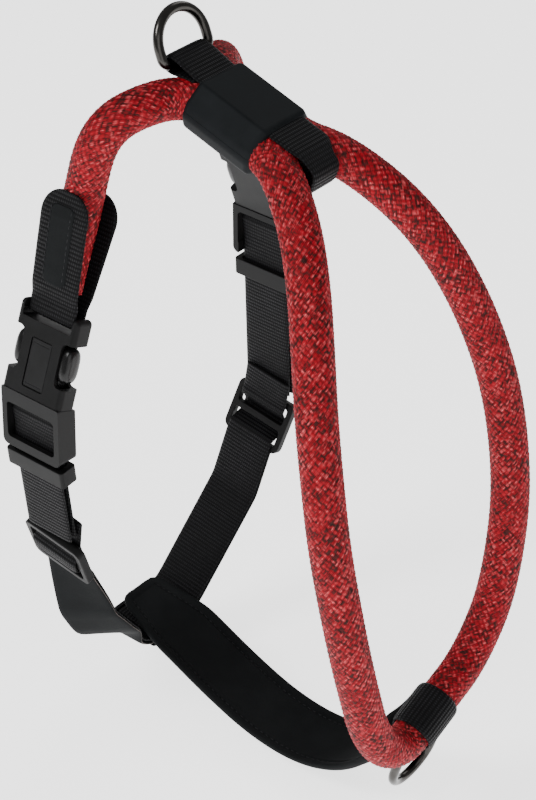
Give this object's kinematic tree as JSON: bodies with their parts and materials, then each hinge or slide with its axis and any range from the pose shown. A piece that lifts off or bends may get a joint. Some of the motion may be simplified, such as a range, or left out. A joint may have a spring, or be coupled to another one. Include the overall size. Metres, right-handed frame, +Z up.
{
  "type": "no pull harness",
  "caption": "Rope dog harness that clips on at both sides: padded neck loop, moulded back block, webbing girth and chest pad, with a lead ring on the back and one at the chest.",
  "frame": {"origin": "middle of the flat underside of the back block, which lies on the dog's back", "axes": "+X to the dog's head, +Y to the dog's left, +Z up; the block tips nose down by 18 degrees about Y"},
  "size_m": [0.1865, 0.1554, 0.3415],
  "materials": {
    "rope_red": "braided",
    "rope_filling": "soft foam",
    "webbing_black": "ribbed weave",
    "neoprene_black": "smooth knit",
    "block_rubber": "soft matt",
    "buckle_black": "satin",
    "ring_steel": "polished gunmetal"
  },
  "bodies": {
    "harness": {"rope_jacket": "rope_red", "rope_core": "rope_filling", "back_block_cover": "block_rubber", "back_block_base": "block_rubber", "back_webbing": "webbing_black", "chest_band": "webbing_black", "chest_pad": "neoprene_black", "pad_strap_loop": "webbing_black", "belly_strap": "webbing_black", "belly_facing": "neoprene_black", "right_rope_end": "rope_red", "right_rope_end_webbing": "webbing_black", "right_buckle_socket": "buckle_black", "right_badge": "buckle_black", "left_rope_end": "rope_red", "left_rope_end_webbing": "webbing_black", "left_buckle_socket": "buckle_black", "left_badge": "buckle_black"},
    "top_ring": {"top_d_ring": "ring_steel"},
    "front_ring": {"front_d_ring": "ring_steel"},
    "right_strap": {"right_buckle_plug": "buckle_black", "right_strap_loop": "webbing_black", "right_triglide": "buckle_black", "right_lower_strap": "webbing_black"},
    "right_keeper_body": {"right_keeper": "buckle_black"},
    "right_front_latch": {"right_latch_front": "buckle_black"},
    "right_rear_latch": {"right_latch_rear": "buckle_black"},
    "left_strap": {"left_buckle_plug": "buckle_black", "left_strap_loop": "webbing_black", "left_triglide": "buckle_black", "left_lower_strap": "webbing_black"},
    "left_keeper_body": {"left_keeper": "buckle_black"},
    "left_front_latch": {"left_latch_front": "buckle_black"},
    "left_rear_latch": {"left_latch_rear": "buckle_black"}
  },
  "joints": [
    {"name": "top_ring_swing", "type": "hinge", "parent": "harness", "child": "top_ring", "pos_m": [-0.02651, 0, 0.02843], "axis": [0, 1, 0], "range_deg": [-80, 70]},
    {"name": "front_ring_swing", "type": "hinge", "parent": "harness", "child": "front_ring", "pos_m": [0.1, 0, -0.2525], "axis": [0, 1, 0], "range_deg": [-95, 8]},
    {"name": "right_buckle_pull", "type": "slide", "parent": "harness", "child": "right_strap", "axis": [0, -0.3746, -0.9272], "range_m": [0, 0.03], "deforming": ["right_lower_strap", "right_latch_front", "right_latch_rear"]},
    {"name": "right_keeper_slide", "type": "slide", "parent": "right_strap", "child": "right_keeper_body", "axis": [0, 0.1011, -0.9949], "range_m": [0, 0.022]},
    {"name": "right_latch_front_press", "type": "hinge", "parent": "right_strap", "child": "right_front_latch", "pos_m": [-0.0364, -0.07358, -0.09688], "axis": [0, -0.9272, 0.3746], "range_deg": [0, 6], "stiffness_Nm_per_rad": 0.5},
    {"name": "right_latch_rear_press", "type": "hinge", "parent": "right_strap", "child": "right_rear_latch", "pos_m": [-0.0516, -0.07358, -0.09688], "axis": [0, 0.9272, -0.3746], "range_deg": [0, 6], "stiffness_Nm_per_rad": 0.5},
    {"name": "left_buckle_pull", "type": "slide", "parent": "harness", "child": "left_strap", "axis": [0, 0.342, -0.9397], "range_m": [0, 0.03], "deforming": ["left_lower_strap", "left_latch_front", "left_latch_rear"]},
    {"name": "left_keeper_slide", "type": "slide", "parent": "left_strap", "child": "left_keeper_body", "axis": [0, 0.0305, -0.9995], "range_m": [-0.003, 0.042]},
    {"name": "left_latch_front_press", "type": "hinge", "parent": "left_strap", "child": "left_front_latch", "pos_m": [-0.0364, 0.0682, -0.07083], "axis": [0, -0.9397, -0.342], "range_deg": [0, 6], "stiffness_Nm_per_rad": 0.5},
    {"name": "left_latch_rear_press", "type": "hinge", "parent": "left_strap", "child": "left_rear_latch", "pos_m": [-0.0516, 0.0682, -0.07083], "axis": [0, 0.9397, 0.342], "range_deg": [0, 6], "stiffness_Nm_per_rad": 0.5}
  ],
  "couplings": [
    {"joint": "right_latch_rear_press", "follows": "right_latch_front_press", "ratio": 1},
    {"joint": "left_latch_rear_press", "follows": "left_latch_front_press", "ratio": 1}
  ]
}
